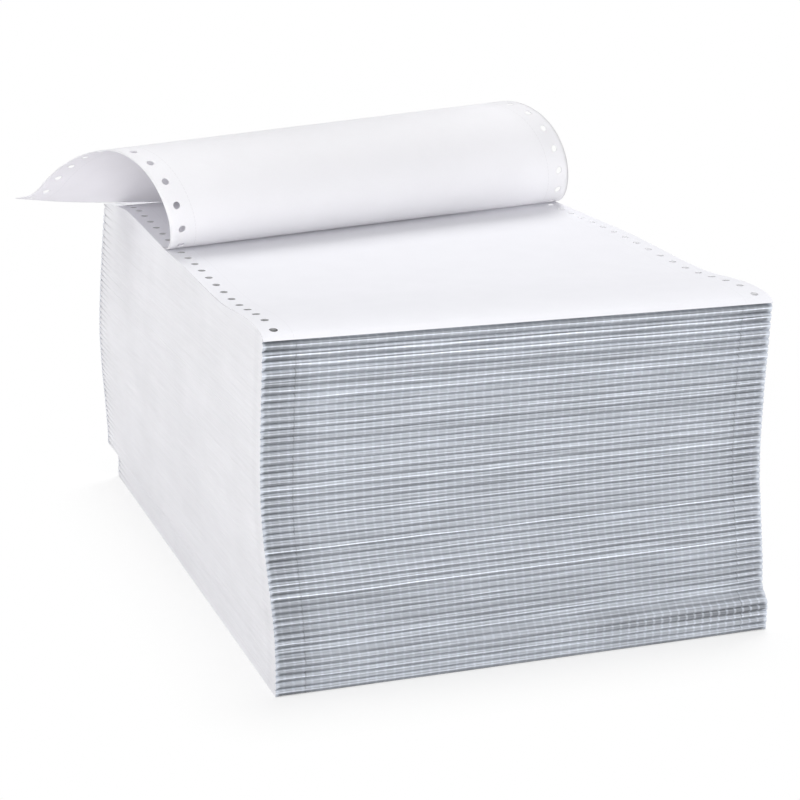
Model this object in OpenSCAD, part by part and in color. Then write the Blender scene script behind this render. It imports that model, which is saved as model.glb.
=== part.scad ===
/* [Form] */
// Width of the form, across both punched margins
form_w = 241.3; // [236:0.1:246]
// Pitch of the sprocket holes along each margin
hole_pitch = 12.7; // [12.6:0.05:12.8]
// Holes in each margin of one leaf, from fold to fold
holes_per_leaf = 24; // [24:1:25]
// Diameter of a sprocket hole
hole_d = 3.6; // [3:0.1:4.5]
// Distance from a side edge to the centres of its holes
hole_inset = 6.35; // [5.5:0.05:7.5]
// Thickness of the turned-back leaf
leaf_t = 0.6; // [0.4:0.05:0.9]

/* [Pile] */
// Height of the pile where its top lies level
pile_h = 161; // [150:1:175]
// Number of folds below the top one
folds = 50; // [46:1:54]
// How much thicker the loose folds at the top are than pressed ones, as a share
top_looseness = 0.36; // [0.2:0.02:0.5]
// How far the pile's top lies to the left of its foot
lean_left = 4.6; // [0:0.2:5.4]
// How far the pile's top lies behind its foot, the flare left out
lean_back = 2.4; // [0:0.2:3.4]
// How far the pile's waist bulges to the left
waist_bulge = 1.7; // [0:0.1:2.4]
// How far the lower folds are turned round, in degrees
fold_turn = 1.25; // [0:0.05:1.4]
// How far the lowest folds stand out at the front
foot_flare = 2.8; // [0:0.1:3.6]

/* [Top of the pile] */
// Drop of the top front fold below the level part
front_drop = 3.7; // [3.2:0.1:4.2]
// Rise of the ridge behind the front fold
front_ridge = 0.5; // [0.2:0.1:1]
// Depth of the dip behind the ridge
front_dip = 2.4; // [1.8:0.1:2.8]
// Slope at which the top leaf climbs behind the bend, as a share
rear_slope = 0.05; // [0.03:0.005:0.06]
// Drop of the top leaf from the end of that climb to its rear fold
rear_drop = 6.5; // [5.5:0.1:7.5]

/* [Turned-back leaf] */
// Distance from the front fold to the bend, at the left edge
bend_left = 169.4; // [165:0.2:173]
// Distance from the front fold to the bend, at the right edge
bend_right = 233.2; // [229:0.2:237]
// Radius of the bend where the leaf leaves the pile
bend_r = 20.4; // [19.6:0.2:21]
// Radius of the crown
crown_r = 30; // [29:0.2:31]
// Radius of the crown's back
shoulder_r = 39.6; // [38.6:0.2:40.6]
// Largest turn from one flat strip of the curl to the next, in degrees
strip_turn = 6; // [5:1:8]

/* [Hidden] */
$fn = 13;
paper = "#f0f0f5";

// Depth of a leaf, from fold to fold: the holes keep their pitch across each fold
form_d = hole_pitch * holes_per_leaf;
// Height taken by the top fold at the front
top_fold_h = 4.4;
// Folds that are still loose at the top, and folds that lie on the ground as one flat foot
loose_folds = 4;
foot_folds = 4;
// How far each fold settles into the one below
lap = 0.2;
// How much wider the folds are drawn than they are cut, and the bands in which their sides are cut
side_allowance = 10;
side_bands = 14;
// Height over which the sides pass from the foot to the folds above it
foot_blend = 9;
// Shares of the pile's height, from the top: where the lean starts and over how much it grows,
// where the bulge ends and where the foot starts to stand out
lean_start = 0.4;
lean_span = 0.5;
bulge_end = 0.85;
flare_start = 0.88;
// How far a solid runs past the one that it cuts or is joined to
overrun = 10;
// How far the top leaf's underside is set in from the folds, and how far the swell behind the bend is sunk
tuck = 1;
// Radius of a fold's nose, as a share of its thickness
nose_share = 0.53;
// Width of the top leaf's ridge, and where its dip and its level part lie behind the front fold
ridge_y = 19;
dip_y = 66;
level_y = 150;
// Depth of the stretch that falls to the rear fold, the height at which it starts and the power of its fall
rear_round = 57;
rear_top = 3.7;
rear_power = 1.5;
// Steps of the top leaf's section, as a share of each stretch: fine at the front, coarser at the rear
crest_step = 0.1;
rear_step = 0.2;

// Thickness of each fold below the top one: loose at first, then pressed and slightly uneven.
// All but the lowest are rounded to a twentieth, and the lowest takes the rest
loose_fade = 4.2;
unevenness = 0.06;
uneven_turn = 137.5;
fold_shares = [
    for (i = [0:folds - 1])
    1 + top_looseness * exp(-pow(i / loose_fade, 4)) + unevenness * sin(i * uneven_turn)
];
folded_h = pile_h - top_fold_h - lap;
fold_scale = folded_h / total(fold_shares);
upper_heights = [for (i = [0:folds - 2]) round(fold_shares[i] * fold_scale * 20) / 20];
fold_heights = concat(upper_heights, [folded_h - total(upper_heights)]);

// Turns of the arcs that the curl follows, in degrees: two bends, crown, shoulder, slope and tail
bend_turn = 50;
crown_turn = 50;
shoulder_turn = 40;
slope_turn = 34;
tail_turn = 30;
// Radii of the slope and the tail along the left and the right edge of the leaf
slope_left_r = 96;
slope_right_r = 132;
tail_left_r = 25;
tail_right_r = 300;
// One row an arc: its turn and its radius along either edge. The tail turns the other way, down to the pile
arcs = [
    [bend_turn, bend_r, bend_r],
    [bend_turn, bend_r, crown_r],
    [crown_turn, crown_r, crown_r],
    [shoulder_turn, shoulder_r, shoulder_r],
    [slope_turn, slope_left_r, slope_right_r],
    [-tail_turn, tail_left_r, tail_right_r]
];
// One entry a strip of the curl: its turn and its length along either edge
strips = [
    for (arc = arcs)
    let (count = ceil(abs(arc[0]) / strip_turn), turn = arc[0] / count, span = abs(turn) * PI / 180)
    for (k = [1:count]) [turn, arc[1] * span, arc[2] * span]
];
// The turning lines stand midway along their strips: their places on the left edge and, run on past
// the free edge where need be, on the right edge
last_line = len(strips) - 1;
line_left = [for (k = [0:last_line]) bend_left - sum_to(strips, k, 1) + strips[k][1] / 2];
line_right = [for (k = [0:last_line]) bend_right - sum_to(strips, k, 2) + strips[k][2] / 2];
// Length of the flat start of the curl, behind the bend
flat_start = 3;
// Reach of a drill on either side of the turned-back leaf
drill_reach = 3;

function total(list, i = 0) = i < len(list) ? list[i] + total(list, i + 1) : 0;

function sum_to(rows, last, column) = last < 0 ? 0 : rows[last][column] + sum_to(rows, last - 1, column);

function height_below(i) = i < 0 ? 0 : fold_heights[i] + height_below(i - 1);

// Height at which fold i meets the fold below
function fold_z(i) = pile_h - top_fold_h - height_below(i);

// Eases from 0 to 1 while x goes from 0 to 1
function ease(x) = let (t = min(max(x, 0), 1)) t * t * (3 - 2 * t);

// Height of the foot
foot_h = fold_z(folds - 1 - foot_folds);

// Place of a fold whose depth below the top is the share d of the pile's height
function shift_x(d) =
    -lean_left * (1 - ease((d - lean_start) / lean_span)) - waist_bulge * sin(min(d / bulge_end, 1) * 180);

function front_y(d) =
    -form_d / 2 + lean_back * (1 - d) + foot_flare * (1 - ease((d - flare_start) / (1 - flare_start)));

function fold_angle(d) = fold_turn * d;

function fold_front(i) = i < folds - foot_folds ? front_y(1 - fold_z(i) / pile_h) : -form_d / 2;

// Height of the top leaf over the pile's level, at y behind the front fold
function top_z(y) =
    y < ridge_y ? -front_drop + (front_ridge + front_drop) * sqrt(1 - pow(1 - y / ridge_y, 2))
    : y < dip_y ? front_ridge - (front_ridge + front_dip) * ease((y - ridge_y) / (dip_y - ridge_y))
    : -front_dip * (1 - ease((y - dip_y) / (level_y - dip_y)));

// Height over the pile's level to which the top leaf falls towards its rear fold
function rear_z(y) = rear_top - rear_drop * pow(max(y - form_d + rear_round, 0) / rear_round, rear_power);

// Turns an outline drawn in y and z into a prism along x
module along_x(width) {
    rotate([90, 0, 90])
        linear_extrude(width, center = true)
            children();
}

// Moves a leaf's own frame, centred on its front fold, to its place in the pile
module placed(d, z) {
    translate([shift_x(d), front_y(d), z])
        rotate([0, 0, fold_angle(d)])
            children();
}

module foot_placed() {
    translate([0, -form_d / 2, 0])
        children();
}

// Corner of the pile's outline at height z
function pile_corner(z, x, y) =
    let (d = 1 - min(z / pile_h, 1), angle = fold_angle(d))
    z > foot_h
    ? [shift_x(d) + x * cos(angle) - y * sin(angle), front_y(d) + x * sin(angle) + y * cos(angle), z]
    : [x, y - form_d / 2, z];

// Solid through loops of points, each clockwise when seen from before the first loop
module loft(loops) {
    count = len(loops[0]);
    last = (len(loops) - 1) * count;
    polyhedron(
        points = [for (loop = loops) each loop],
        faces = concat(
            [[for (i = [0:count - 1]) i]],
            [
                for (row = [0:count:last - count], i = [0:count - 1])
                let (next = (i + 1) % count, above = row + count)
                each [[row + next, row + i, above + i], [row + next, above + i, above + next]]
            ],
            [[for (i = [count - 1:-1:0]) last + i]]
        )
    );
}

// The space between the pile's two side faces, which wave and twist with the folds
module between_sides() {
    reach = 2 * overrun;
    blend_z = foot_h + foot_blend;
    bands = [for (t = [0:side_bands]) blend_z + (pile_h - blend_z) * t / side_bands];
    levels = concat([-overrun, foot_h], bands, [pile_h + overrun]);
    loft([
        for (z = levels) [
            pile_corner(z, -form_w / 2, -reach),
            pile_corner(z, form_w / 2, -reach),
            pile_corner(z, form_w / 2, form_d + reach),
            pile_corner(z, -form_w / 2, form_d + reach)
        ]
    ]);
}

// Outline of one fold, round at the front and at the rear
module fold_outline(height) {
    nose_r = height * nose_share;
    nose = nose_r - sqrt(nose_r * nose_r - height * height / 4);
    translate([nose, 0])
        square([form_d - 2 * nose, height]);
    intersection() {
        square([form_d, height]);
        for (y = [nose_r, form_d - nose_r])
            translate([y, height / 2])
                circle(r = nose_r);
    }
}

// The top leaf: front fold, ridge, dip and level part, down to the fold below
module top_outline() {
    front = [for (t = [0:crest_step:1]) ridge_y * (1 - cos(t * 90))];
    middle = [for (t = [crest_step:crest_step:1]) ridge_y + (dip_y - ridge_y) * t];
    back = [for (t = [crest_step:crest_step:1]) dip_y + (level_y - dip_y) * t];
    rear = [for (t = [0:rear_step:1]) form_d - rear_round * (1 - t)];
    crest = [for (y = concat(front, middle, back)) [y, top_z(y)]];
    tail = [for (y = rear) [y, min(0, rear_z(y))]];
    polygon(concat(crest, tail, [[form_d - tuck, -top_fold_h - lap], [tuck, -top_fold_h - lap]]));
}

// Side view of the whole pile, fold by fold
module pile_outline() {
    translate([front_y(0), pile_h])
        top_outline();
    for (i = [0:folds - 1])
        translate([fold_front(i), fold_z(i) - lap])
            fold_outline(fold_heights[i] + lap);
}

// The part of the top leaf behind the bend, which climbs and then rounds down to the rear fold
module rear_swell() {
    skew = atan((bend_right - bend_left) / form_w);
    reach = form_d;
    start = bend_left - 2 * overrun;
    edge = [for (t = [0:rear_step:1]) form_d - rear_round * (1 - t)];
    intersection() {
        translate([0, (bend_left + bend_right) / 2, 0])
            rotate([0, 0, skew])
                along_x(2 * form_w)
                    polygon([[0, -tuck], [0, leaf_t], [reach, leaf_t + rear_slope * reach], [reach, -tuck]]);
        along_x(form_w + side_allowance)
            polygon(concat([[start, -tuck], [start, rear_top]], [for (y = edge) [y, rear_z(y)]]));
    }
}

// The two rows of holes of one leaf, as drills of the given depth
module hole_rows(depth) {
    for (side = [-1, 1])
        for (i = [0:holes_per_leaf - 1])
            translate([side * (form_w / 2 - hole_inset), (i + 0.5) * hole_pitch, 0])
                cylinder(h = depth, d = hole_d);
}

// The sprocket holes, down through the top leaf and the loose folds and up through the foot
module wells() {
    depth = pile_h - fold_z(loose_folds - 1);
    placed(0, pile_h - depth)
        hole_rows(depth + overrun);
    foot_placed()
        translate([0, 0, -overrun])
            hole_rows(foot_h + overrun);
}

module folded_pile() {
    difference() {
        intersection() {
            union() {
                along_x(form_w + side_allowance)
                    pile_outline();
                placed(0, pile_h)
                    rear_swell();
            }
            between_sides();
        }
        wells();
    }
}

function shifted(v) = [[1, 0, 0, v[0]], [0, 1, 0, v[1]], [0, 0, 1, v[2]], [0, 0, 0, 1]];

function turned_x(a) = [[1, 0, 0, 0], [0, cos(a), -sin(a), 0], [0, sin(a), cos(a), 0], [0, 0, 0, 1]];

function turned_z(a) = [[cos(a), -sin(a), 0, 0], [sin(a), cos(a), 0, 0], [0, 0, 1, 0], [0, 0, 0, 1]];

function line_skew(k) = atan((line_right[k] - line_left[k]) / form_w);

// What turning line k does to all that lies in front of it in the flat leaf
function hinge(k) =
    let (pivot = [-form_w / 2, line_left[k], 0], skew = line_skew(k))
    shifted(pivot) * turned_z(skew) * turned_x(-strips[k][0]) * turned_z(-skew) * shifted(-pivot);

// Place of strip k of the curl, which lies in front of line k - 1
function strip_place(k) = k == 0 ? shifted([0, 0, 0]) : strip_place(k - 1) * hinge(k - 1);

// Right end of a line across the leaf: on the right edge, or on the free edge where that comes first
function right_end(left_y, right_y) =
    right_y > 0 ? [form_w / 2, right_y] : [form_w * (left_y / (left_y - right_y) - 0.5), 0];

// The leaf's section along a line across it: both faces at both ends, mitred to the next strip
function section(strip, turn, left_y, right) =
    let (
        skew = atan((right[1] - left_y) / (right[0] + form_w / 2)),
        lean = [-sin(skew), cos(skew)] * tan(turn / 2) * leaf_t / 2
    )
    [
        for (corner = [[right, 1], [[-form_w / 2, left_y], 1], [[-form_w / 2, left_y], -1], [right, -1]])
        let (
            at = corner[0] + corner[1] * lean,
            point = strip_place(strip) * [at[0], at[1], corner[1] * leaf_t / 2, 1]
        )
        [point[0], point[1], point[2]]
    ];

// Sections of the curl from its flat start to the free edge, with one through the leaf's free right corner
function curl_sections() = [
    section(0, 0, bend_left + flat_start, [form_w / 2, bend_right + flat_start]),
    for (k = [0:last_line])
    let (passed = k > 0 ? line_right[k - 1] / (line_right[k - 1] - line_right[k]) : 0)
    each [
        if (passed > 0 && passed < 1)
        section(k, 0, line_left[k - 1] + passed * (line_left[k] - line_left[k - 1]), [form_w / 2, 0]),
        section(k, strips[k][0], line_left[k], right_end(line_left[k], line_right[k]))
    ],
    section(last_line + 1, 0, 0, [line_right[last_line] > 0 ? form_w / 2 : 1 - form_w / 2, 0])
];

// Drills for the holes of the turned-back leaf, each square to the strip it stands on
module curl_drills() {
    for (side = [-1, 1], i = [0:holes_per_leaf - 1])
        let (
            at = [side * (form_w / 2 - hole_inset), (i + 0.5) * hole_pitch],
            across = at[0] / form_w + 0.5,
            line_ys = line_left * (1 - across) + line_right * across,
            lines_behind = [for (line_y = line_ys) if (line_y > at[1]) 1]
        )
            if (len(lines_behind) > 0)
                multmatrix(strip_place(len(lines_behind)))
                    translate([at[0], at[1], -drill_reach])
                        cylinder(h = 2 * drill_reach, d = hole_d);
}

// The leaf turned back over the pile, punched
module curl() {
    difference() {
        loft(curl_sections());
        curl_drills();
    }
}

// The continuous form: the folded pile, and its top leaf turned back on itself
module form_pile() {
    color(paper) {
        folded_pile();
        placed(0, pile_h + leaf_t / 2)
            curl();
    }
}

form_pile();
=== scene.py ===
import bpy
import numpy as np
from mathutils import Matrix, Vector


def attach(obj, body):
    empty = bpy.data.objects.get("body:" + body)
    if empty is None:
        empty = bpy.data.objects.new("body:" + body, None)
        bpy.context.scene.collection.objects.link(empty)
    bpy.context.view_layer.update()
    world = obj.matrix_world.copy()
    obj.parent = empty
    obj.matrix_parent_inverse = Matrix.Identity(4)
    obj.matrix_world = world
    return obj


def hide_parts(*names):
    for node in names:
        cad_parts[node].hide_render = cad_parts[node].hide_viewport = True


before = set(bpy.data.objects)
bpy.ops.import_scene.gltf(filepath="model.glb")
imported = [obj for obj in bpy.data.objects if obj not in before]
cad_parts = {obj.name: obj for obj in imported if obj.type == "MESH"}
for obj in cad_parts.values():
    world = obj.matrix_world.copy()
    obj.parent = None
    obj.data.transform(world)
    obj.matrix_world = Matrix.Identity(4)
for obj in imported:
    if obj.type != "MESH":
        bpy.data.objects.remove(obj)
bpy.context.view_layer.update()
mm = 0.001
rng = np.random.default_rng(11)

# the continuous form: one leaf, its punched margins and its sheet
form = {
    "width": 241.3 * mm,
    "pitch": 12.7 * mm,  # from hole to hole
    "holesPerLeaf": 24,
    "holeRadius": 1.8 * mm,
    "tearOff": 13.6 * mm,  # from each side edge to its perforated line
    "sheet": 0.3 * mm,  # thickness shown on the turned-back leaf
    "cellSteps": 6,  # grid steps along one pitch
}
form["depth"] = form["pitch"] * form["holesPerLeaf"]

# the stack of folds and how it stands; shares of the height are counted down from the top
pile = {
    "height": 161.0 * mm,
    "topFold": 4.4 * mm,
    "settle": 0.2 * mm,
    "folds": 50,
    "looseness": 0.36,
    "looseFolds": 4.2,
    "unevenness": 0.06,
    "leanLeft": 4.6 * mm,
    "leanStart": 0.4,
    "leanOver": 0.5,
    "leanBack": 2.4 * mm,
    "waist": 1.7 * mm,
    "waistOver": 0.85,
    "turn": np.radians(1.25),
    "footFlare": 2.8 * mm,
    "flareStart": 0.88,
    "flareOver": 0.12,
    "footFolds": 4,
    "footBlend": 9 * mm,
}

# section of the top leaf, over the level part of the pile
topLeaf = {
    "frontDrop": 3.7 * mm,
    "ridge": 0.5 * mm,
    "ridgeAt": 19 * mm,
    "dip": 2.4 * mm,
    "dipAt": 66 * mm,
    "levelAt": 150 * mm,
    "rearSlope": 0.05,
    "rearTop": 3.7 * mm,
    "rearDrop": 6.5 * mm,
    "rearLength": 57 * mm,
}

# the turned-back leaf: each arc is (turn in degrees, radius on the left edge, radius on the right edge) in mm
curl = {
    "bendLeft": 169.4 * mm,
    "bendRight": 233.2 * mm,
    "arcs": ((50, 20.4, 20.4), (50, 20.4, 30), (50, 30, 30), (40, 39.6, 39.6), (34, 96, 132), (-30, 25, 300)),
    "step": 1.0,  # degrees from one ruling to the next
    "behind": 4 * mm,  # how far the leaf goes on behind the bend line
    "frontEdge": 0.15 * mm,  # how far its free edge is drawn in
}


def ease(x):
    # 3t^2 - 2t^3 with t held between 0 and 1
    t = np.clip(x, 0, 1)
    return t * t * (3 - 2 * t)


def foldHeights():
    # height of fold i: a pressed share, more for the loose folds at the top, and a small unevenness
    i = np.arange(pile["folds"])
    loose = pile["looseness"] * np.exp(-((i / pile["looseFolds"]) ** 4))
    shares = 1 + loose + pile["unevenness"] * np.sin(np.radians(i * 137.5))
    return shares * (pile["height"] - pile["topFold"] - pile["settle"]) / shares.sum()


def place(x, y, z):
    # a point of a fold, from the leaf's own x and y to its place in the pile; d is the share down the height
    # the lean left and the set-back over the foot ease out downwards, the waist is half a sine,
    # the lean back and the turn go evenly with d, and the lowest folds blend into a straight stack
    d = 1 - np.clip(z / pile["height"], 0, 1)
    footTop = foldHeights()[-pile["footFolds"] :].sum() + pile["settle"]
    inFoot = 1 - ease((z - footTop) / pile["footBlend"])
    lean = pile["leanLeft"] * (1 - ease((d - pile["leanStart"]) / pile["leanOver"]))
    waist = pile["waist"] * np.sin(np.minimum(d / pile["waistOver"], 1) * np.pi)
    flare = pile["footFlare"] * (1 - ease((d - pile["flareStart"]) / pile["flareOver"]))
    frontY = -form["depth"] / 2 + pile["leanBack"] * (1 - d) + flare
    angle = pile["turn"] * d
    px = -lean - waist + x * np.cos(angle) - y * np.sin(angle)
    py = frontY + x * np.sin(angle) + y * np.cos(angle)
    straightY = y - form["depth"] / 2
    return np.stack([px + (x - px) * inFoot, py + (straightY - py) * inFoot, z + 0 * x], axis=-1)


def topHeight(y):
    # quarter ellipse up to the ridge, eased down to the dip, eased up to the level part
    t = topLeaf
    rise = np.sqrt(1 - (1 - np.clip(y / t["ridgeAt"], 0, 1)) ** 2)
    front = -t["frontDrop"] + (t["ridge"] + t["frontDrop"]) * rise
    middle = t["ridge"] - (t["ridge"] + t["dip"]) * ease((y - t["ridgeAt"]) / (t["dipAt"] - t["ridgeAt"]))
    back = -t["dip"] * (1 - ease((y - t["dipAt"]) / (t["levelAt"] - t["dipAt"])))
    return np.where(y < t["ridgeAt"], front, np.where(y < t["dipAt"], middle, back))


def rearHeight(y):
    # falls as the 1.5th power of the way to the rear fold
    t = topLeaf
    way = np.clip((y - form["depth"] + t["rearLength"]) / t["rearLength"], 0, 1)
    return t["rearTop"] - t["rearDrop"] * way**1.5


def behindBend(x, y):
    # distance behind the askew bend line
    slope = (curl["bendRight"] - curl["bendLeft"]) / form["width"]
    lineY = curl["bendLeft"] + slope * (x + form["width"] / 2)
    return (y - lineY) / np.sqrt(1 + slope * slope)


def pileTop(x, y):
    # height of the uppermost leaf that lies on the pile: the swell behind the bend over the top section
    behind = behindBend(x, y)
    swell = np.minimum(form["sheet"] + topLeaf["rearSlope"] * behind, rearHeight(y))
    return np.where(behind > 0, np.maximum(np.minimum(topHeight(y), rearHeight(y)), swell), topHeight(y))


def topCurve(x, y):
    # height of the uppermost lying leaf, held under the fall to the rear fold
    cap = np.where(y > form["depth"] - topLeaf["rearLength"], rearHeight(y), 1)
    return pile["height"] + np.minimum(pileTop(x, y), cap)


def addPiece(name, points, faces, material, uv=None):
    # one mesh of the paper; its UV map holds the form's own millimetres and fold counts for each point
    mesh = bpy.data.meshes.new(name)
    mesh.from_pydata(points.reshape(-1, 3), [], faces)
    mesh.polygons.foreach_set("use_smooth", np.full(len(mesh.polygons), True))
    if uv is not None:
        corners = np.zeros(len(mesh.loops), dtype=np.int32)
        mesh.loops.foreach_get("vertex_index", corners)
        mesh.uv_layers.new(name="form").data.foreach_set("uv", uv.reshape(-1, 2)[corners].ravel())
    mesh.materials.append(material)
    mesh.update()
    piece = bpy.data.objects.new(name, mesh)
    bpy.context.collection.objects.link(piece)
    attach(piece, "root")
    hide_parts("form_pile")
    print("made", name, len(faces), "faces")
    return piece


def gridFaces(rows, columns, flip=False):
    # quads of a grid whose points are stored row by row
    i = np.arange(rows - 1)[:, None] * columns + np.arange(columns - 1)[None, :]
    quads = np.stack([i, i + 1, i + columns + 1, i + columns], axis=-1).reshape(-1, 4)
    return (quads[:, ::-1] if flip else quads).tolist()


def ringFaces(holes, rings, around, inward):
    # quads between neighbouring rings of each hole, whose points are stored hole by hole and ring by ring
    ring, step = np.meshgrid(np.arange(rings - 1), np.arange(around), indexing="ij")
    here, after = ring * around + step, ring * around + (step + 1) % around
    quads = np.stack((here, here + around, after + around, after), -1).reshape(1, -1, 4)
    quads = quads[..., [0, 3, 2, 1]] if inward else quads
    return (np.arange(holes)[:, None, None] * rings * around + quads).reshape(-1, 4)


def punchedLeaf():
    # flat leaf as a grid, each margin cell turned into rings that run from its round hole to its square rim
    n, p = form["cellSteps"], form["pitch"]
    t = np.arange(n) / n - 0.5
    half = 0 * t + 0.5
    sides = ((t, -half), (half, t), (-t, half), (-half, -t))
    square = np.concatenate([np.stack(side, 1) for side in sides]) * p
    angle = np.arctan2(square[:, 1], square[:, 0])
    circle = np.stack([np.cos(angle), np.sin(angle)], 1) * form["holeRadius"]
    cell = circle + (square - circle) * np.array([0, 0.12, 0.5, 1.0])[:, None, None]
    holeX = (form["width"] - p) / 2
    holes = range(form["holesPerLeaf"])
    centres = np.array([[side * holeX, (k + 0.5) * p] for side in (-1, 1) for k in holes])
    margins = (centres[:, None, None, :] + cell[None]).reshape(-1, 2)
    rings, around = cell.shape[:2]
    inner = form["width"] / 2 - p
    columns = int(round(2 * inner / (p / n))) + 1
    rows = form["holesPerLeaf"] * n + 1
    x, y = np.meshgrid(np.linspace(-inner, inner, columns), np.linspace(0, form["depth"], rows))
    points = np.concatenate([margins, np.stack([x, y], -1).reshape(-1, 2)])
    middleFaces = np.array(gridFaces(rows, columns)) + len(margins)
    faces = np.concatenate([ringFaces(len(centres), rings, around, False), middleFaces])
    kept, same = np.unique(np.round(points, 7), axis=0, return_inverse=True)
    same = same.reshape(-1)
    rims = np.arange(len(centres))[:, None] * rings * around + np.arange(around)
    return kept, same[faces], same[rims]


# the folded faces: the rows of one fold as shares of its height, and how deep each row lies behind the crest
foldFace = {
    "rows": np.array(
        [0, 0.04, 0.1, 0.16, 0.22, 0.29, 0.36, 0.43, 0.5, 0.57, 0.64, 0.71, 0.78, 0.85, 0.91, 0.96]
    ),
    "crest": 0.36,  # share of a fold's height at which it stands out most
    "noseShare": 0.53,
    "noseSpread": (0.8, 1.1),
    "groove": 0.55 * mm,
    "grooveWidth": 0.07,
    "looseGain": 0.5,
    "looseFolds": 3.0,
    "standSpread": 0.2 * mm,
    "proud": [28, 35],  # the two folds that stand furthest out
    "plies": 4,
    "plyDepth": 0.17 * mm,
    "plyPhase": 0.12,
    "lip": (0.3 * mm, 0.9 * mm),  # height and depth of the row under the top leaf's edge
    "footDepth": 0.5 * mm,
    "wave": 0.14 * mm,
    "waveLength": 42 * mm,
    "lift": 0.11 * mm,
    "marginWidth": 17 * mm,
    "marginGain": 0.75,
    "seeds": (1.7, 4.2),
    "endLength": 1.2 * mm,
    "endClosing": 0.65,
    "frontColumns": 122,
    "rearColumns": 60,
}


def foldRows():
    # height, depth and count of each row, from the top leaf's front edge to the ground; the count is the
    # fold's number plus the share down it, and the depth is a circle's arc, a Gaussian groove, ply lines of
    # 1 - |sin| and each fold's own chance
    f = foldFace
    heights = foldHeights()
    tops = pile["height"] - pile["topFold"] - np.concatenate([[0], np.cumsum(heights)[:-1]])
    s = f["rows"]
    z = tops[:, None] - s[None, :] * heights[:, None]
    warped = np.where(s < f["crest"], 0.5 * s / f["crest"], 0.5 + 0.5 * (s - f["crest"]) / (1 - f["crest"]))
    radius = heights[:, None] * f["noseShare"]
    nose = radius - np.sqrt(radius**2 - ((warped[None, :] - 0.5) * heights[:, None]) ** 2)
    looseness = 1 + f["looseGain"] * np.exp(-np.arange(len(heights)) / f["looseFolds"])[:, None]
    phase = rng.uniform(-f["plyPhase"], f["plyPhase"], (len(heights), 1))
    plies = f["plyDepth"] * (1 - np.abs(np.sin(np.pi * f["plies"] * (s[None, :] + phase)))) * looseness
    groove = f["groove"] * np.exp(-((np.minimum(s, 1 - s)[None, :] / f["grooveWidth"]) ** 2)) * looseness
    stand = np.abs(rng.normal(0, f["standSpread"], (len(heights), 1)))
    stand[f["proud"]] = 0
    depth = nose * rng.uniform(*f["noseSpread"], (len(heights), 1)) + plies + groove + stand
    count = (np.arange(len(heights))[:, None] + s[None, :]).ravel()
    top = pile["height"] - topLeaf["frontDrop"]
    z = np.concatenate([[top, top - f["lip"][0]], z.ravel(), [0]])
    depth = np.concatenate([[0, f["lip"][1]], depth.ravel(), [f["footDepth"]]])
    return z, depth, np.concatenate([[-1, -0.5], count, [len(heights)]])


def slowWave(x, row, seed):
    # three sines along x whose phases drift slowly from fold to fold and jump a little at each
    jump = np.sin(np.floor(row) * 12.9898 + seed) * 1.3
    length = foldFace["waveLength"]
    return sum(np.sin(x * k / length + jump * k + row * 0.35 + seed * k) / k for k in (1, 2.3, 4.1)) / 1.67


def foldSurface(x, rows, rear):
    # height and depth of every row at every x: the depth waves, grows towards the punched margins, and closes
    # at the very ends of the front folds; the height waves by less near the top leaf and the ground
    f = foldFace
    z, depth, count = rows
    seed = f["seeds"][rear]
    edge = form["width"] / 2 - np.abs(x)
    closed = (1 - rear) * np.exp(-((edge / f["endLength"]) ** 2))
    gain = (1 + f["marginGain"] * np.exp(-((edge / f["marginWidth"]) ** 2))) * (1 - f["endClosing"] * closed)
    deep = depth[:, None] * gain[None, :] + f["wave"] * slowWave(x[None, :], count[:, None], seed)
    inner = np.clip(np.minimum(z, pile["height"] - pile["topFold"] - z) / (2 * mm), 0, 1)
    high = z[:, None] + f["lift"] * inner[:, None] * slowWave(x[None, :], np.floor(count)[:, None], seed + 2)
    return high, np.maximum(deep, 0.02 * mm)


def makeFoldFaces(material, rows):
    # both folded faces: a grid of the rows along x, set back from the leaf's front or rear end by their depth
    half = form["width"] / 2
    for name, columns, rear in (("front_folds", "frontColumns", False), ("rear_folds", "rearColumns", True)):
        x = np.linspace(-half, half, foldFace[columns])
        high, deep = foldSurface(x, rows, rear)
        across = np.broadcast_to(x, high.shape)
        points = place(across, form["depth"] - deep if rear else deep, high)
        uv = np.stack([across / mm, np.broadcast_to(rows[2][:, None], high.shape)], -1)
        addPiece(name, points, gridFaces(*high.shape, flip=not rear), material, uv=uv)


# the cut sides: how far their leaves and folds stand back, and how far from the ends the folds show
sideFace = {
    "columns": 72,
    "hair": 0.16 * mm,
    "relief": 0.06 * mm,
    "frontRelief": 0.25 * mm,
    "rearRelief": 0.6 * mm,
    "reach": 0.03,  # share of the leaf's depth
    "topSeam": 0.02 * mm,
}


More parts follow.
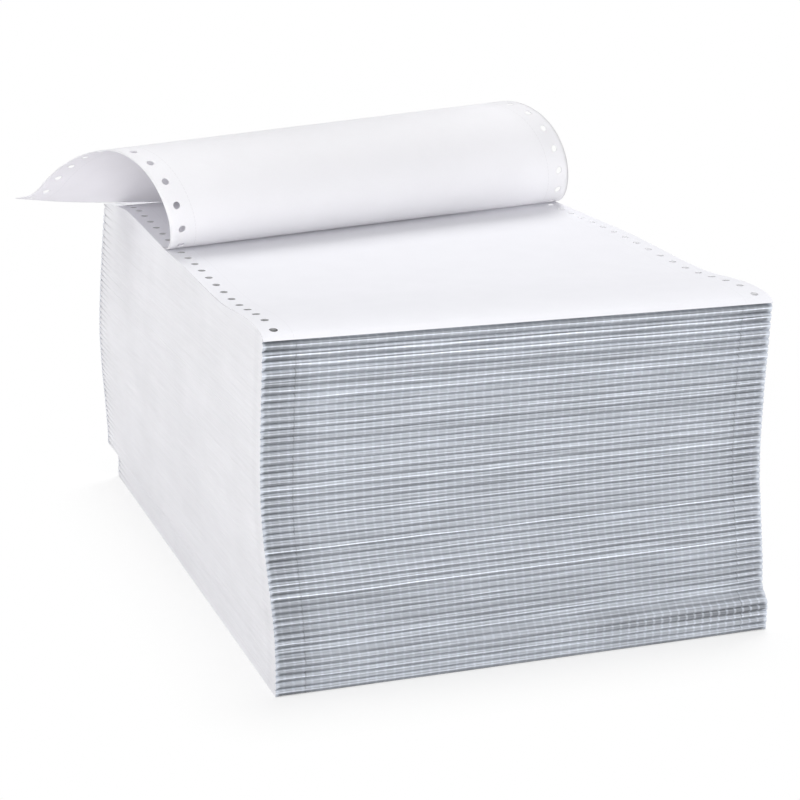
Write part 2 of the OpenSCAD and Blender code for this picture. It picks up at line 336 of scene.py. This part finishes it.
def makeSides(material, rows):
    # each side runs from the front folds to the rear ones; its leaves stand back by hairs, and each fold is
    # rounded by |sin|^0.6 of the count, times a relief that falls exponentially away from both ends
    f = sideFace
    even = np.linspace(0, 1, f["columns"])
    t = ease(even) * 0.7 + 0.3 * even
    z, _, count = rows
    below = np.clip(count - 0.3, 0, 1) * (z > 1 * mm)
    hairs = rng.uniform(0, f["hair"], len(z)) * below
    rounds = (np.abs(np.sin(np.pi * count)) ** 0.6 - 1) * below
    ends = f["frontRelief"] * np.exp(-t / f["reach"]) + f["rearRelief"] * np.exp(-(1 - t) / f["reach"])
    within = np.minimum(t * 40, 1)[None, :]
    standing = rounds[:, None] * (f["relief"] + ends)[None, :] * within - hairs[:, None] * within
    for name, side in (("left_side", -1), ("right_side", 1)):
        x = np.array([side * form["width"] / 2])
        frontHigh, frontDeep = foldSurface(x, rows, False)
        rearHigh, rearDeep = foldSurface(x, rows, True)
        along = frontDeep + (form["depth"] - rearDeep - frontDeep) * t[None, :]
        high = frontHigh + (rearHigh - frontHigh) * t[None, :]
        points = place(side * (form["width"] / 2 + standing) + 0 * along, along, high)
        uv = np.stack([along / mm, np.broadcast_to(count[:, None], along.shape)], -1)
        addPiece(name, points, gridFaces(*high.shape, flip=side > 0), material, uv=uv)


def makeTopSides(material):
    # the strip of each side between the edge of the top leaf and the uppermost fold
    y = np.concatenate([np.linspace(0, 20 * mm, 16), np.linspace(20 * mm, form["depth"], 130)[1:]])
    low = np.full(len(y), pile["height"] - topLeaf["frontDrop"] - sideFace["topSeam"])
    for name, side in (("left_top_edge", -1), ("right_top_edge", 1)):
        x = np.full(len(y), side * form["width"] / 2)
        top = topCurve(x, y)
        high = np.stack([top + (low - top) * s for s in (0, 0.3, 0.6, 1)])
        across, along = np.broadcast_to(x, high.shape), np.broadcast_to(y, high.shape)
        points = place(across, along, np.minimum(high, pile["height"]))
        points[..., 2] = high
        uv = np.stack([along / mm, (high - pile["height"]) / (3 * mm)], -1)
        addPiece(name, points, gridFaces(*high.shape, flip=side > 0), material, uv=uv)


def makeTopLeaf(material):
    # the punched leaf laid on the section of the pile's top
    flat, faces, rims = punchedLeaf()
    points = place(flat[:, 0], flat[:, 1], np.full(len(flat), pile["height"]))
    points[:, 2] = topCurve(flat[:, 0], flat[:, 1])
    addPiece("top_leaf", points, faces.tolist(), material, uv=flat / mm)
    return points, rims


def makeLowestLeaf(material):
    # the punched leaf flat on the ground, about the origin, seen from below
    flat, faces, rims = punchedLeaf()
    points = np.stack([flat[:, 0], flat[:, 1] - form["depth"] / 2, 0 * flat[:, 0]], 1)
    addPiece("lowest_leaf", points, faces[:, ::-1].tolist(), material, uv=flat / mm)
    return points, rims[:, ::-1]


# how far the sprocket holes go down from the top leaf and up from the lowest one
wells = {"top": 13 * mm, "lower": -11 * mm}


def makeWells(name, points, rims, depth, material):
    # walls and end of the sprocket holes: each rim carried straight down, then closed to its centre
    rim = points[rims]
    down = np.array([0, 0, 1]) * depth
    middle = rim.mean(1, keepdims=True)
    end = middle + 0.02 * (rim - middle) - down
    wall = np.stack([rim, rim - 0.04 * down, rim - 0.35 * down, rim - down, end], 1)
    addPiece(name, wall, ringFaces(*wall.shape[:3], True).tolist(), material)


def leafChain():
    # rulings of the turned-back leaf: where each meets the left and the right edge, and the turn of each
    # strip, which is that of the strip before it and one more rotation about the ruling between them
    turns, left, right = [], [], []
    yLeft, yRight = curl["bendLeft"], curl["bendRight"]
    for degrees, leftRadius, rightRadius in curl["arcs"]:
        count = int(round(abs(degrees) / curl["step"]))
        turn = np.radians(degrees / count)
        spans = abs(turn) * (np.arange(count) + 0.5)
        turns += [turn] * count
        left += list(yLeft - spans * leftRadius * mm)
        right += list(yRight - spans * rightRadius * mm)
        yLeft -= abs(turn) * count * leftRadius * mm
        yRight -= abs(turn) * count * rightRadius * mm
    chain = [Matrix.Identity(4)]
    for turn, a, b in zip(turns, left, right):
        pivot = Vector((-form["width"] / 2, a, 0))
        spin = Matrix.Rotation(-turn, 4, Vector((form["width"], b - a, 0)).normalized())
        chain.append(chain[-1] @ Matrix.Translation(pivot) @ spin @ Matrix.Translation(-pivot))
    return np.array(left), np.array(right), np.array(chain)


def makeTurnedLeaf(inner, outer):
    # each point of the flat leaf takes the turn of the last ruling that it lies in front of
    flat, faces, _ = punchedLeaf()
    kept = (behindBend(flat[:, 0], flat[:, 1]) < curl["behind"])[faces].all(1)
    used, index = np.unique(faces[kept], return_inverse=True)
    cut = flat[used]
    x, y = cut[:, 0], np.maximum(cut[:, 1], curl["frontEdge"])
    left, right, chain = leafChain()
    across = (x / form["width"] + 0.5)[:, None]
    rulings = left[None, :] * (1 - across) + right[None, :] * across
    strip = (rulings > y[:, None]).sum(1)
    level = np.stack([x, y, 0 * x, 0 * x + 1], 1)
    bent = np.einsum("nij,nj->ni", chain[strip], level)[:, :3]
    origin = place(np.zeros(1), np.zeros(1), np.array([pile["height"]]))[0]
    points = bent + [origin[0], origin[1], pile["height"] + form["sheet"] / 2]
    piece = addPiece("turned_leaf", points, index.reshape(-1, 4).tolist(), inner, uv=cut / mm)
    piece.data.materials.append(outer)
    solid = piece.modifiers.new("sheet", "SOLIDIFY")
    solid.thickness = form["sheet"]
    solid.offset = 0
    solid.material_offset = 1
    solid.material_offset_rim = 1


def addNode(tree, kind, **settings):
    # a node with its settings: the name of a property sets it; the name of an input, or i and its number,
    # fills that input with a value or links it to a socket
    node = tree.nodes.new("ShaderNode" + kind)
    for name, value in settings.items():
        if hasattr(node, name):
            setattr(node, name, value)
    for name, value in settings.items():
        if hasattr(node, name):
            continue
        socket = node.inputs[int(name[1:])] if name[1:].isdigit() else node.inputs[name.replace("_", " ")]
        if isinstance(value, bpy.types.NodeSocket):
            tree.links.new(value, socket)
        else:
            socket.default_value = value
    return node


def calc(tree, operation, a, b=0.0, c=0.0):
    # the result of a Math node
    return addNode(tree, "Math", operation=operation, i0=a, i1=b, i2=c).outputs[0]


def smoothBand(tree, value, low, high, fromValue=0.0, toValue=1.0):
    # eased from one value to the other while the first goes from low to high
    limits = {"i1": low, "i2": high, "i3": fromValue, "i4": toValue}
    return addNode(tree, "MapRange", interpolation_type="SMOOTHSTEP", i0=value, **limits).outputs[0]


def near(tree, value, centre, inner, outer):
    # 1 within the inner distance of the centre, eased to 0 at the outer one
    return smoothBand(tree, calc(tree, "ABSOLUTE", calc(tree, "SUBTRACT", value, centre)), outer, inner)


def chanceOf(tree, number, seed):
    # a random value for each fold
    seeded = calc(tree, "ADD", number, seed)
    return addNode(tree, "TexWhiteNoise", noise_dimensions="1D", W=seeded).outputs["Value"]


def streakNoise(tree, x, xScale, y, yScale, **settings):
    # noise on a plane that is stretched along x and fine along y
    scaled = {"i0": calc(tree, "MULTIPLY", x, xScale), "i1": calc(tree, "MULTIPLY", y, yScale)}
    spot = addNode(tree, "CombineXYZ", **scaled).outputs[0]
    return addNode(tree, "TexNoise", Vector=spot, Scale=1.0, **settings).outputs[0]


def formMap(tree):
    # the form's own coordinates: x and y in mm on a flat leaf, x and the fold count on the folds,
    # y and the fold count on the cut sides
    split = addNode(tree, "SeparateXYZ", i0=addNode(tree, "UVMap", uv_map="form").outputs[0])
    return split.outputs["X"], split.outputs["Y"]


def addSockets(group, inOut, *names):
    # a shared group's inputs or outputs, and the node inside the group that holds them
    for name in names:
        group.interface.new_socket(name=name, in_out=inOut, socket_type="NodeSocketFloat")
    return group.nodes.new("NodeGroup" + inOut.title())


def fibreGroup():
    # shared by all papers: a fine fibrous tone near 1 and a height for the bump
    group = bpy.data.node_groups.new("paper_fibre", "ShaderNodeTree")
    end = addSockets(group, "OUTPUT", "Tone", "Height")
    where = addNode(group, "TexCoord").outputs["Object"]
    fibre = addNode(group, "TexNoise", Vector=where, Scale=2600.0, Detail=5.0, Roughness=0.6).outputs[0]
    cloud = addNode(group, "TexNoise", Vector=where, Scale=70.0, Detail=3.0).outputs[0]
    fine = smoothBand(group, fibre, 0.3, 0.7, 0.972, 1.0)
    soft = smoothBand(group, cloud, 0.3, 0.7, -0.012, 0.0)
    group.links.new(calc(group, "ADD", fine, soft), end.inputs["Tone"])
    group.links.new(fibre, end.inputs["Height"])
    return group


def tearOffGroup():
    # shared by the leaves and the folds: 1 on both tear-off lines, eased to 0 over their width; U is x and
    # Width is half a line's width, in mm
    group = bpy.data.node_groups.new("tear_off_line", "ShaderNodeTree")
    start = addSockets(group, "INPUT", "U", "Width").outputs
    end = addSockets(group, "OUTPUT", "Mask")
    lineAt = (form["width"] / 2 - form["tearOff"]) / mm
    off = calc(group, "ABSOLUTE", calc(group, "SUBTRACT", calc(group, "ABSOLUTE", start["U"]), lineAt))
    mask = smoothBand(group, off, start["Width"], calc(group, "MULTIPLY", start["Width"], 0.3))
    group.links.new(mask, end.inputs["Mask"])
    return group


def tearOffLines(tree, u, width):
    # the shared mask in a material
    lines = tree.nodes.new("ShaderNodeGroup")
    lines.node_tree = tearOffNodes
    tree.links.new(u, lines.inputs["U"])
    lines.inputs["Width"].default_value = width
    return lines.outputs["Mask"]


def startPaper(name, roughness):
    # a matt shader and the shared fibre
    material = bpy.data.materials.new(name)
    material.use_nodes = True
    tree = material.node_tree
    shader = tree.nodes["Principled BSDF"]
    shader.inputs["Roughness"].default_value = roughness
    shader.inputs["Specular IOR Level"].default_value = 0.25
    fibre = tree.nodes.new("ShaderNodeGroup")
    fibre.node_tree = fibreNodes
    return material, tree, shader, fibre.outputs["Tone"], fibre.outputs["Height"]


def finishPaper(tree, shader, colour, value, bump, height):
    # the colour times the value, and the height pressed into the normal
    tinted = addNode(tree, "MixRGB", blend_type="MULTIPLY", i0=1.0, i1=(*colour, 1), i2=value).outputs[0]
    tree.links.new(tinted, shader.inputs["Base Color"])
    raised = addNode(tree, "Bump", Height=height, Strength=bump, Distance=0.0001).outputs[0]
    tree.links.new(raised, shader.inputs["Normal"])
    return tinted, raised


# flat paper: glow is the share of light that passes through; line and rim are how much darker the tear-off
# line and the right end are, the rim's darkening a painted shade; the turned leaf's outer colour is lighter
# than the lying sheet's, partly to make up for the light that passes through and partly as painted light, and
# its inner colour is painted darker, a painted shade
sheetLooks = {
    "sheet_paper": {"colour": (0.838, 0.838, 0.878), "glow": 0.0, "line": 0.05, "rim": 0.0},
    "turned_paper": {"colour": (0.965, 0.963, 0.98), "glow": 0.28, "line": 0.08, "rim": 0.05},
    "inner_paper_painted_shade": {"colour": (0.92, 0.908, 0.935), "glow": 0.5, "line": 0.08, "rim": 0.0},
}


def sheetMaterial(name):
    # flat paper with the perforated tear-off line along each margin, and painted shade that darkens the right
    # margin and the right edge
    look = sheetLooks[name]
    material, tree, shader, fibreTone, fibreHeight = startPaper(name, 0.8)
    u, v = formMap(tree)
    dash = calc(tree, "GREATER_THAN", calc(tree, "FRACT", calc(tree, "DIVIDE", v, 2.1)), 0.28)
    cuts = calc(tree, "MULTIPLY", tearOffLines(tree, u, 0.28), dash)
    value = calc(tree, "MULTIPLY", fibreTone, calc(tree, "MULTIPLY_ADD", cuts, -look["line"], 1.0))
    # painted shade: the right margin and the right edge darker, by the rim share
    rightEndShade = smoothBand(tree, u, 95.0, 119.0, 1.0, 1.0 - look["rim"])
    rim = smoothBand(tree, u, 119.4, 120.5, 1.0, 1.0 - 3 * look["rim"])
    value = calc(tree, "MULTIPLY", value, calc(tree, "MULTIPLY", rightEndShade, rim))
    tinted, normal = finishPaper(tree, shader, look["colour"], value, 0.12, fibreHeight)
    through = addNode(tree, "BsdfTranslucent", Color=tinted, Normal=normal).outputs[0]
    mixed = addNode(tree, "MixShader", i0=look["glow"], i1=shader.outputs[0], i2=through).outputs[0]
    tree.links.new(mixed, tree.nodes["Material Output"].inputs["Surface"])
    return material


# burst fold edges: tones are shares of the colour; the bluish grey colour and the band tone are painted shade
# over the whole face, the dark tone is painted shade over each groove, and the lips are painted highlights
foldLook = {
    "colour": (0.782, 0.826, 0.905),
    "paintedShadeTone": 0.45,
    "foldSpread": 0.07,
    "lineTone": 0.18,
    "upperLipHighlight": 0.29,
    "lowerLipHighlight": 0.42,
    "proudLipHighlight": 0.3,
    "grooveShadeFrom": 0.6,  # share of a fold's height
    "grooveShadeSpread": 0.1,
    "grooveShadeTone": 0.31,
    "endTone": 0.88,
    "tiePitch": 25.4 / 6,  # mm
    "tieTone": 0.11,
    "dashAt": 46.5,  # fold count of the dashed row
    "dashTone": 0.34,
}


def foldMaterial(look):
    # burst fold edges: painted shade over the whole face, painted highlights on the pale lips above and
    # below, and deeper painted shade in a dark strip over each groove
    material, tree, shader, fibreTone, fibreHeight = startPaper("fold_paper_painted_light_and_shade", 0.9)
    u, count = formMap(tree)
    share = calc(tree, "FRACT", count)
    number = calc(tree, "FLOOR", count)
    first, second, third = (chanceOf(tree, number, seed) for seed in (0.0, 71.3, 34.9))
    side = calc(tree, "ABSOLUTE", u)
    ends = smoothBand(tree, side, 96.0, 116.0)
    toRight = smoothBand(tree, u, 0.0, 105.0)
    toLeft = smoothBand(tree, u, 0.0, -115.0)
    drift = calc(tree, "SUBTRACT", streakNoise(tree, u, 0.035, number, 3.7, Detail=2.0), 0.5)
    lines = smoothBand(tree, streakNoise(tree, u, 0.03, count, 9.0, Detail=3.0), 0.4, 0.6)

    # where the strip of painted shade over each groove starts drifts along each fold, and the pale lips,
    # painted highlights, keep their distance from it; painted shade also lies just under the top leaf's edge,
    # on a thin line mid-fold and in the slit of the loose top folds, whose ply edge is a painted highlight
    start = calc(tree, "MULTIPLY_ADD", second, look["grooveShadeSpread"], look["grooveShadeFrom"])
    start = calc(tree, "MULTIPLY_ADD", drift, 0.3, start)
    start = calc(tree, "MULTIPLY_ADD", ends, -0.08, start)
    past = calc(tree, "SUBTRACT", share, start)
    dark = calc(tree, "MAXIMUM", smoothBand(tree, past, -0.07, 0.09), smoothBand(tree, share, 0.05, 0.0))
    dark = calc(tree, "MAXIMUM", dark, near(tree, count, 0.16, 0.06, 0.16))
    upperHighlight = near(tree, share, 0.14, 0.03, 0.1)
    lower = near(tree, past, -0.13, 0.03, 0.1)
    middle = near(tree, past, -0.3, 0.02, 0.07)
    proud = calc(tree, "MAXIMUM", *(near(tree, number, float(n), 0.3, 0.6) for n in foldFace["proud"]))
    loose = smoothBand(tree, count, 6.0, 3.0)
    # painted shade: the band tone darkens the whole face
    tone = calc(tree, "MULTIPLY_ADD", first, look["foldSpread"], look["paintedShadeTone"])
    tone = calc(tree, "MULTIPLY_ADD", lines, look["lineTone"], tone)
    tone = calc(tree, "MULTIPLY_ADD", upperHighlight, look["upperLipHighlight"], tone)
    tone = calc(tree, "MULTIPLY_ADD", calc(tree, "MULTIPLY", lower, third), look["lowerLipHighlight"], tone)
    tone = calc(tree, "MULTIPLY_ADD", calc(tree, "MULTIPLY", middle, second), -0.1, tone)
    tone = calc(tree, "MULTIPLY_ADD", calc(tree, "MULTIPLY", lower, proud), look["proudLipHighlight"], tone)
    slitShade = calc(tree, "MULTIPLY", near(tree, share, 0.32, 0.04, 0.1), loose)
    tone = calc(tree, "MULTIPLY_ADD", slitShade, -0.22, tone)
    plyHighlight = calc(tree, "MULTIPLY", near(tree, share, 0.44, 0.02, 0.06), loose)
    tone = calc(tree, "MULTIPLY_ADD", plyHighlight, 0.3, tone)
    deep = calc(tree, "MULTIPLY_ADD", lines, 0.08, look["grooveShadeTone"])
    deep = calc(tree, "MULTIPLY_ADD", ends, -0.05, deep)
    deep = calc(tree, "MULTIPLY_ADD", first, 0.08, deep)
    tone = addNode(tree, "Mix", i0=dark, i2=tone, i3=deep).outputs[0]

    # ties of the burst perforation, strongest in the dashed row at the lower right, and painted shade over
    # whole folds:
    # the dashed row, the folds under the two proud ones and the left ends painted darker, the lowest folds a
    # little lighter
    turns = calc(tree, "DIVIDE", u, look["tiePitch"])
    phase = calc(tree, "FRACT", calc(tree, "ADD", turns, calc(tree, "MULTIPLY", second, 0.16)))
    tie = calc(tree, "SUBTRACT", near(tree, phase, 0.5, 0.07, 0.19), 0.5)
    row = calc(tree, "MULTIPLY", near(tree, count, look["dashAt"], 0.42, 0.6), toRight)
    faint = calc(tree, "MULTIPLY", near(tree, count, look["dashAt"] + 0.5, 1.6, 2.6), toRight)
    contrast = calc(tree, "MULTIPLY_ADD", faint, 0.12, look["tieTone"])
    contrast = calc(tree, "MULTIPLY_ADD", row, look["dashTone"], contrast)
    tone = calc(tree, "MULTIPLY", tone, calc(tree, "MULTIPLY_ADD", tie, contrast, 1.0))
    under = calc(tree, "MAXIMUM", *(near(tree, number, n + 1.5, 0.8, 1.8) for n in foldFace["proud"]))
    shade = calc(tree, "MULTIPLY_ADD", row, -0.27, 1.0)
    shade = calc(tree, "MULTIPLY_ADD", smoothBand(tree, count, 44.5, 47.5), 0.04, shade)
    shade = calc(tree, "MULTIPLY_ADD", calc(tree, "MULTIPLY", under, toLeft), -0.13, shade)
    shade = calc(tree, "MULTIPLY_ADD", calc(tree, "MULTIPLY", ends, toLeft), -0.08, shade)
    tone = calc(tree, "MULTIPLY", tone, shade)

    # the tear-off line wanders with the folds, and the outermost ends are pale and frayed
    reach = smoothBand(tree, u, 0.0, -1.0, -1.4, 1.2)
    wander = calc(tree, "MULTIPLY", smoothBand(tree, count, 44.0, 4.0), reach)
    cuts = tearOffLines(tree, calc(tree, "SUBTRACT", u, wander), 0.45)
    thirds = calc(tree, "FLOOR", calc(tree, "MULTIPLY", count, 3.0))
    jitter = calc(tree, "MULTIPLY", chanceOf(tree, thirds, 5.1), 0.35)
    dimmed = calc(tree, "MULTIPLY_ADD", cuts, calc(tree, "MULTIPLY", jitter, -1.0), 1.0)
    tone = calc(tree, "MULTIPLY", tone, dimmed)
    hairs = smoothBand(tree, calc(tree, "ADD", side, calc(tree, "MULTIPLY", jitter, 3.0)), 119.0, 120.6)
    frayed = calc(tree, "MULTIPLY", hairs, 0.65)
    tone = addNode(tree, "Mix", i0=frayed, i2=tone, i3=look["endTone"]).outputs[0]
    tone = calc(tree, "MULTIPLY", tone, fibreTone)
    finishPaper(tree, shader, look["colour"], tone, 0.5, calc(tree, "MULTIPLY_ADD", lines, 1.5, fibreHeight))
    return material


# cut sides: how much each mark darkens the colour; the gaps, the noses and the patch are painted shade
edgeLook = {
    "colour": (0.945, 0.941, 0.975),
    "gapShade": 0.2,  # between the rear folds
    "noseShade": 0.06,  # the rear folds' own ends
    "dim": 0.07,
    "paintedShadowAt": 258.0,  # mm from the front
    "front": 0.025,
}


def edgeMaterial(look):
    # cut edges of the leaves: streaks that run with them, soft clouds, and painted shade in the gaps between
    # the rear folds, on the rear folds' ends and on a patch of the upper folds towards the rear
    material, tree, shader, fibreTone, fibreHeight = startPaper("edge_paper", 0.9)
    y, count = formMap(tree)
    streak = streakNoise(tree, y, 0.02, count, 4.5, Detail=4.0, Roughness=0.65)
    cloud = streakNoise(tree, y, 0.02, count, 0.11, Detail=2.0)
    share = calc(tree, "FRACT", count)
    gapShade = calc(tree, "MAXIMUM", near(tree, share, 1.0, 0.06, 0.2), near(tree, share, 0.0, 0.04, 0.12))
    rear = smoothBand(tree, calc(tree, "MULTIPLY_ADD", streak, 16.0, y), 284.0, 308.0)
    noseShade = smoothBand(tree, calc(tree, "MULTIPLY_ADD", streak, 4.0, y), 299.0, 301.5)
    dim = calc(tree, "MULTIPLY", near(tree, y, look["paintedShadowAt"], 6.0, 42.0), smoothBand(tree, count, 20.0, 0.0))
    value = smoothBand(tree, streak, 0.3, 0.62, 0.955, 1.0)
    value = calc(tree, "MULTIPLY", value, smoothBand(tree, cloud, 0.3, 0.7, 0.965, 1.0))
    value = calc(tree, "MULTIPLY_ADD", calc(tree, "MULTIPLY", gapShade, rear), -look["gapShade"], value)
    value = calc(tree, "MULTIPLY_ADD", noseShade, -look["noseShade"], value)
    value = calc(tree, "MULTIPLY_ADD", dim, -look["dim"], value)
    value = calc(tree, "MULTIPLY_ADD", near(tree, y, 9.0, 1.5, 5.0), -look["front"], value)
    value = calc(tree, "MULTIPLY", fibreTone, value)
    finishPaper(tree, shader, look["colour"], value, 0.35, calc(tree, "ADD", streak, fibreHeight))
    return material


# walls of the sprocket holes: their tones are painted shade and painted light
wellLightAndShade = {"colour": (0.95, 0.95, 0.97), "left": 0.6, "front": 0.8, "rear": 1.1, "corner": 0.9}


def wellMaterial(look):
    # painted shade and painted light on the walls: the left row and the front painted darker, the rear
    # painted lighter, and the hole at the front left corner painted darkest
    material, tree, shader, fibreTone, fibreHeight = startPaper("well_paper", 0.95)
    where = addNode(tree, "SeparateXYZ", i0=addNode(tree, "TexCoord").outputs["Object"])
    x, y = where.outputs["X"], where.outputs["Y"]
    value = smoothBand(tree, x, -0.11, 0.1, look["left"], 1.0)
    value = calc(tree, "MULTIPLY", value, smoothBand(tree, y, -0.15, 0.08, look["front"], look["rear"]))
    corner = calc(tree, "MULTIPLY", smoothBand(tree, x, -0.09, -0.1), smoothBand(tree, y, -0.138, -0.142))
    value = calc(tree, "MULTIPLY", value, calc(tree, "MULTIPLY_ADD", corner, -look["corner"], 1.0))
    value = calc(tree, "MULTIPLY", fibreTone, value)
    finishPaper(tree, shader, look["colour"], value, 0.3, fibreHeight)
    return material


print("materials")
fibreNodes = fibreGroup()
tearOffNodes = tearOffGroup()
sheetPaper, turnedPaper, innerPaper = (sheetMaterial(name) for name in sheetLooks)
foldPaper = foldMaterial(foldLook)
edgePaper = edgeMaterial(edgeLook)
wellPaper = wellMaterial(wellLightAndShade)

print("shapes")
rows = foldRows()
makeFoldFaces(foldPaper, rows)
makeSides(edgePaper, rows)
makeTopSides(edgePaper)
makeWells("top_wells", *makeTopLeaf(sheetPaper), wells["top"], wellPaper)
makeWells("lower_wells", *makeLowestLeaf(sheetPaper), wells["lower"], wellPaper)
makeTurnedLeaf(innerPaper, turnedPaper)

# camera: the place, turn and lens that fit the photograph's holes and corners
view = {
    "place": (-350.2 * mm, -886.1 * mm, 366.1 * mm),
    "pitch": 13.4814,
    "roll": 0.7792,
    "yaw": 19.3908,
    "lens": 87.1064,
    "shift": (0.0696, -0.1412),
}


def cameraTurn():
    # the camera's right, down and forward, by a yaw about Z, a pitch about X and a roll about the view axis
    a, b, c = (np.radians(view[k]) for k in ("pitch", "roll", "yaw"))
    pitch = np.array([[1, 0, 0], [0, np.cos(a), -np.sin(a)], [0, np.sin(a), np.cos(a)]])
    yaw = np.array([[np.cos(c), -np.sin(c), 0], [np.sin(c), np.cos(c), 0], [0, 0, 1]])
    roll = np.array([[np.cos(b), -np.sin(b), 0], [np.sin(b), np.cos(b), 0], [0, 0, 1]])
    level = np.array([[1, 0, 0], [0, 0, -1], [0, 1, 0]])
    right, down, ahead = roll @ pitch @ level @ yaw
    turn = Matrix(np.stack([right, -down, -ahead], 1).tolist()).to_4x4()
    return Matrix.Translation(view["place"]) @ turn


print("camera and studio")
camera = bpy.data.objects.new("camera", bpy.data.cameras.new("camera"))
bpy.context.collection.objects.link(camera)
camera.matrix_world = cameraTurn()
camera.data.lens = view["lens"]
camera.data.sensor_width = 36
camera.data.shift_x, camera.data.shift_y = view["shift"]
camera.data.clip_start, camera.data.clip_end = 0.01, 50
bpy.context.scene.camera = camera

# studio: pale floor, white sky and three wide lamps, each (x, y, z, power), all aimed at the stack's middle
studio = {
    "floor": 12.0,  # half its width
    "floorColour": (0.96, 0.96, 0.96, 1),
    "fadeFrom": -0.08,  # metres outside the footprint where the floor starts to pass into white
    "fadeTo": 0.05,
    "sky": 0.5,
    "lampSize": 1.2,
    "aim": (0, 0, 0.08),
    "top_lamp": (0.9, 1.0, 1.75, 25),
    "front_lamp": (-0.5, -1.9, 0.4, 25),
    "left_lamp": (-1.6, 0.2, 1.3, 5.2),
}


def makeFloor():
    # a flat square; outside the stack's footprint it passes into the white backdrop, for the camera alone
    mesh = bpy.data.meshes.new("floor")
    h = studio["floor"]
    mesh.from_pydata([(-h, -h, 0), (h, -h, 0), (h, h, 0), (-h, h, 0)], [], [(0, 1, 2, 3)])
    floor = bpy.data.objects.new("floor", mesh)
    bpy.context.collection.objects.link(floor)
    material = bpy.data.materials.new("floor")
    material.use_nodes = True
    tree = material.node_tree
    shader = tree.nodes["Principled BSDF"]
    shader.inputs["Base Color"].default_value = studio["floorColour"]
    shader.inputs["Roughness"].default_value = 0.95
    where = addNode(tree, "TexCoord").outputs["Object"]
    outside = addNode(tree, "VectorMath", operation="ABSOLUTE", i0=where).outputs[0]
    foot = (form["width"] / 2, form["depth"] / 2, 1)
    outside = addNode(tree, "VectorMath", operation="SUBTRACT", i0=outside, i1=foot).outputs[0]
    outside = addNode(tree, "VectorMath", operation="MAXIMUM", i0=outside, i1=(0, 0, 0)).outputs[0]
    away = addNode(tree, "VectorMath", operation="LENGTH", i0=outside).outputs["Value"]
    fade = smoothBand(tree, away, studio["fadeFrom"], studio["fadeTo"])
    seen = calc(tree, "MULTIPLY", fade, addNode(tree, "LightPath").outputs["Is Camera Ray"])
    white = addNode(tree, "Emission", Strength=1.0).outputs[0]
    mixed = addNode(tree, "MixShader", i0=seen, i1=shader.outputs[0], i2=white).outputs[0]
    tree.links.new(mixed, tree.nodes["Material Output"].inputs["Surface"])
    mesh.materials.append(material)


def makeLamp(name):
    # a wide disk lamp that faces the middle of the stack
    lamp = bpy.data.lights.new(name, "AREA")
    lamp.shape = "DISK"
    lamp.size = studio["lampSize"]
    lamp.energy = studio[name][3]
    holder = bpy.data.objects.new(name, lamp)
    holder.location = studio[name][:3]
    holder.rotation_euler = (Vector(studio["aim"]) - holder.location).to_track_quat("-Z", "Y").to_euler()
    bpy.context.collection.objects.link(holder)


def makeSky():
    # white to the camera, and the studio's own level to the paper
    world = bpy.data.worlds.new("studio")
    bpy.context.scene.world = world
    world.use_nodes = True
    tree = world.node_tree
    background = tree.nodes["Background"]
    background.inputs["Color"].default_value = (1, 1, 1, 1)
    rays = addNode(tree, "LightPath").outputs["Is Camera Ray"]
    strength = addNode(tree, "MapRange", i0=rays, i3=studio["sky"], i4=1.0).outputs[0]
    tree.links.new(strength, background.inputs["Strength"])


makeFloor()
for name in ("top_lamp", "front_lamp", "left_lamp"):
    makeLamp(name)
makeSky()
bpy.context.scene.view_settings.view_transform = "Standard"
